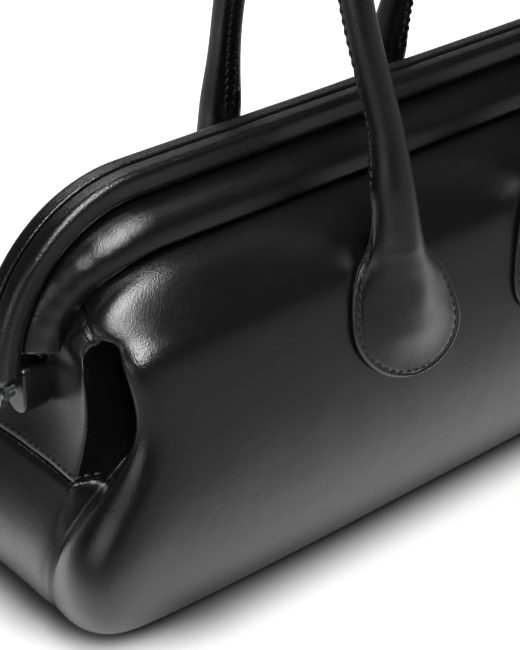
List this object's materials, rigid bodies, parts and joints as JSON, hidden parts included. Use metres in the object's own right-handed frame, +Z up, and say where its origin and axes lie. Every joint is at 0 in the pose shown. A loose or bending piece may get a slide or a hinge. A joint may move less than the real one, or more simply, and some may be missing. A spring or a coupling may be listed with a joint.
{
  "type": "doctor bag",
  "caption": "Soft leather doctor bag with a hinged, leather-covered frame mouth, padded rolls, tucked ends and rolled handles on leaf-shaped tabs.",
  "frame": {"origin": "middle of the base, on the surface that the bag stands on", "axes": "+X along the bag's length, the front faces -Y, +Z up"},
  "size_m": [0.362, 0.1174, 0.2487],
  "materials": {
    "body_leather": "polished black leather with a faint grain",
    "rail_leather": "polished black leather, smooth",
    "lining_cloth": "woven cotton lining",
    "board": "pressed fibreboard",
    "padding": "felt and cord padding",
    "steel": "plain rolled steel"
  },
  "bodies": {
    "body": {"front_panel": "body_leather", "back_panel": "body_leather", "left_gusset": "body_leather", "right_gusset": "body_leather", "left_end_flap": "body_leather", "right_end_flap": "body_leather", "base_panel": "body_leather", "base_board": "board", "base_lining": "lining_cloth", "front_lining": "lining_cloth", "back_lining": "lining_cloth", "left_end_lining": "lining_cloth", "right_end_lining": "lining_cloth", "left_roll_end": "rail_leather", "right_roll_end": "rail_leather", "left_rivet": "steel", "right_rivet": "steel", "front_left_tab": "body_leather", "front_right_tab": "body_leather", "back_left_tab": "body_leather", "back_right_tab": "body_leather"},
    "front_frame": {"front_bar": "steel", "front_left_eye": "steel", "front_right_eye": "steel", "front_rail_cover": "rail_leather", "front_rail_core": "padding", "front_roll": "rail_leather"},
    "back_frame": {"back_bar": "steel", "back_left_eye": "steel", "back_right_eye": "steel", "back_rail_cover": "rail_leather", "back_rail_core": "padding", "back_roll": "rail_leather"},
    "front_handle": {"front_handle_cover": "rail_leather", "front_handle_core": "padding"},
    "back_handle": {"back_handle_cover": "rail_leather", "back_handle_core": "padding"}
  },
  "joints": [
    {"name": "front_frame_hinge", "type": "hinge", "parent": "body", "child": "front_frame", "pos_m": [0, 0, 0.0795], "axis": [1, 0, 0], "range_deg": [0, 30], "deforming": ["front_panel", "back_panel", "left_gusset", "right_gusset", "front_lining", "back_lining", "left_end_lining", "right_end_lining"]},
    {"name": "back_frame_hinge", "type": "hinge", "parent": "body", "child": "back_frame", "pos_m": [0, 0, 0.0795], "axis": [-1, 0, 0], "range_deg": [0, 30], "deforming": ["front_panel", "back_panel", "left_gusset", "right_gusset", "front_lining", "back_lining", "left_end_lining", "right_end_lining"]},
    {"name": "front_handle_bend", "type": "hinge", "parent": "body", "child": "front_handle", "pos_m": [0, -0.05215, 0.104], "axis": [1, 0, 0], "range_deg": [0, 70]},
    {"name": "back_handle_bend", "type": "hinge", "parent": "body", "child": "back_handle", "pos_m": [0, 0.05215, 0.104], "axis": [-1, 0, 0], "range_deg": [0, 70]}
  ]
}
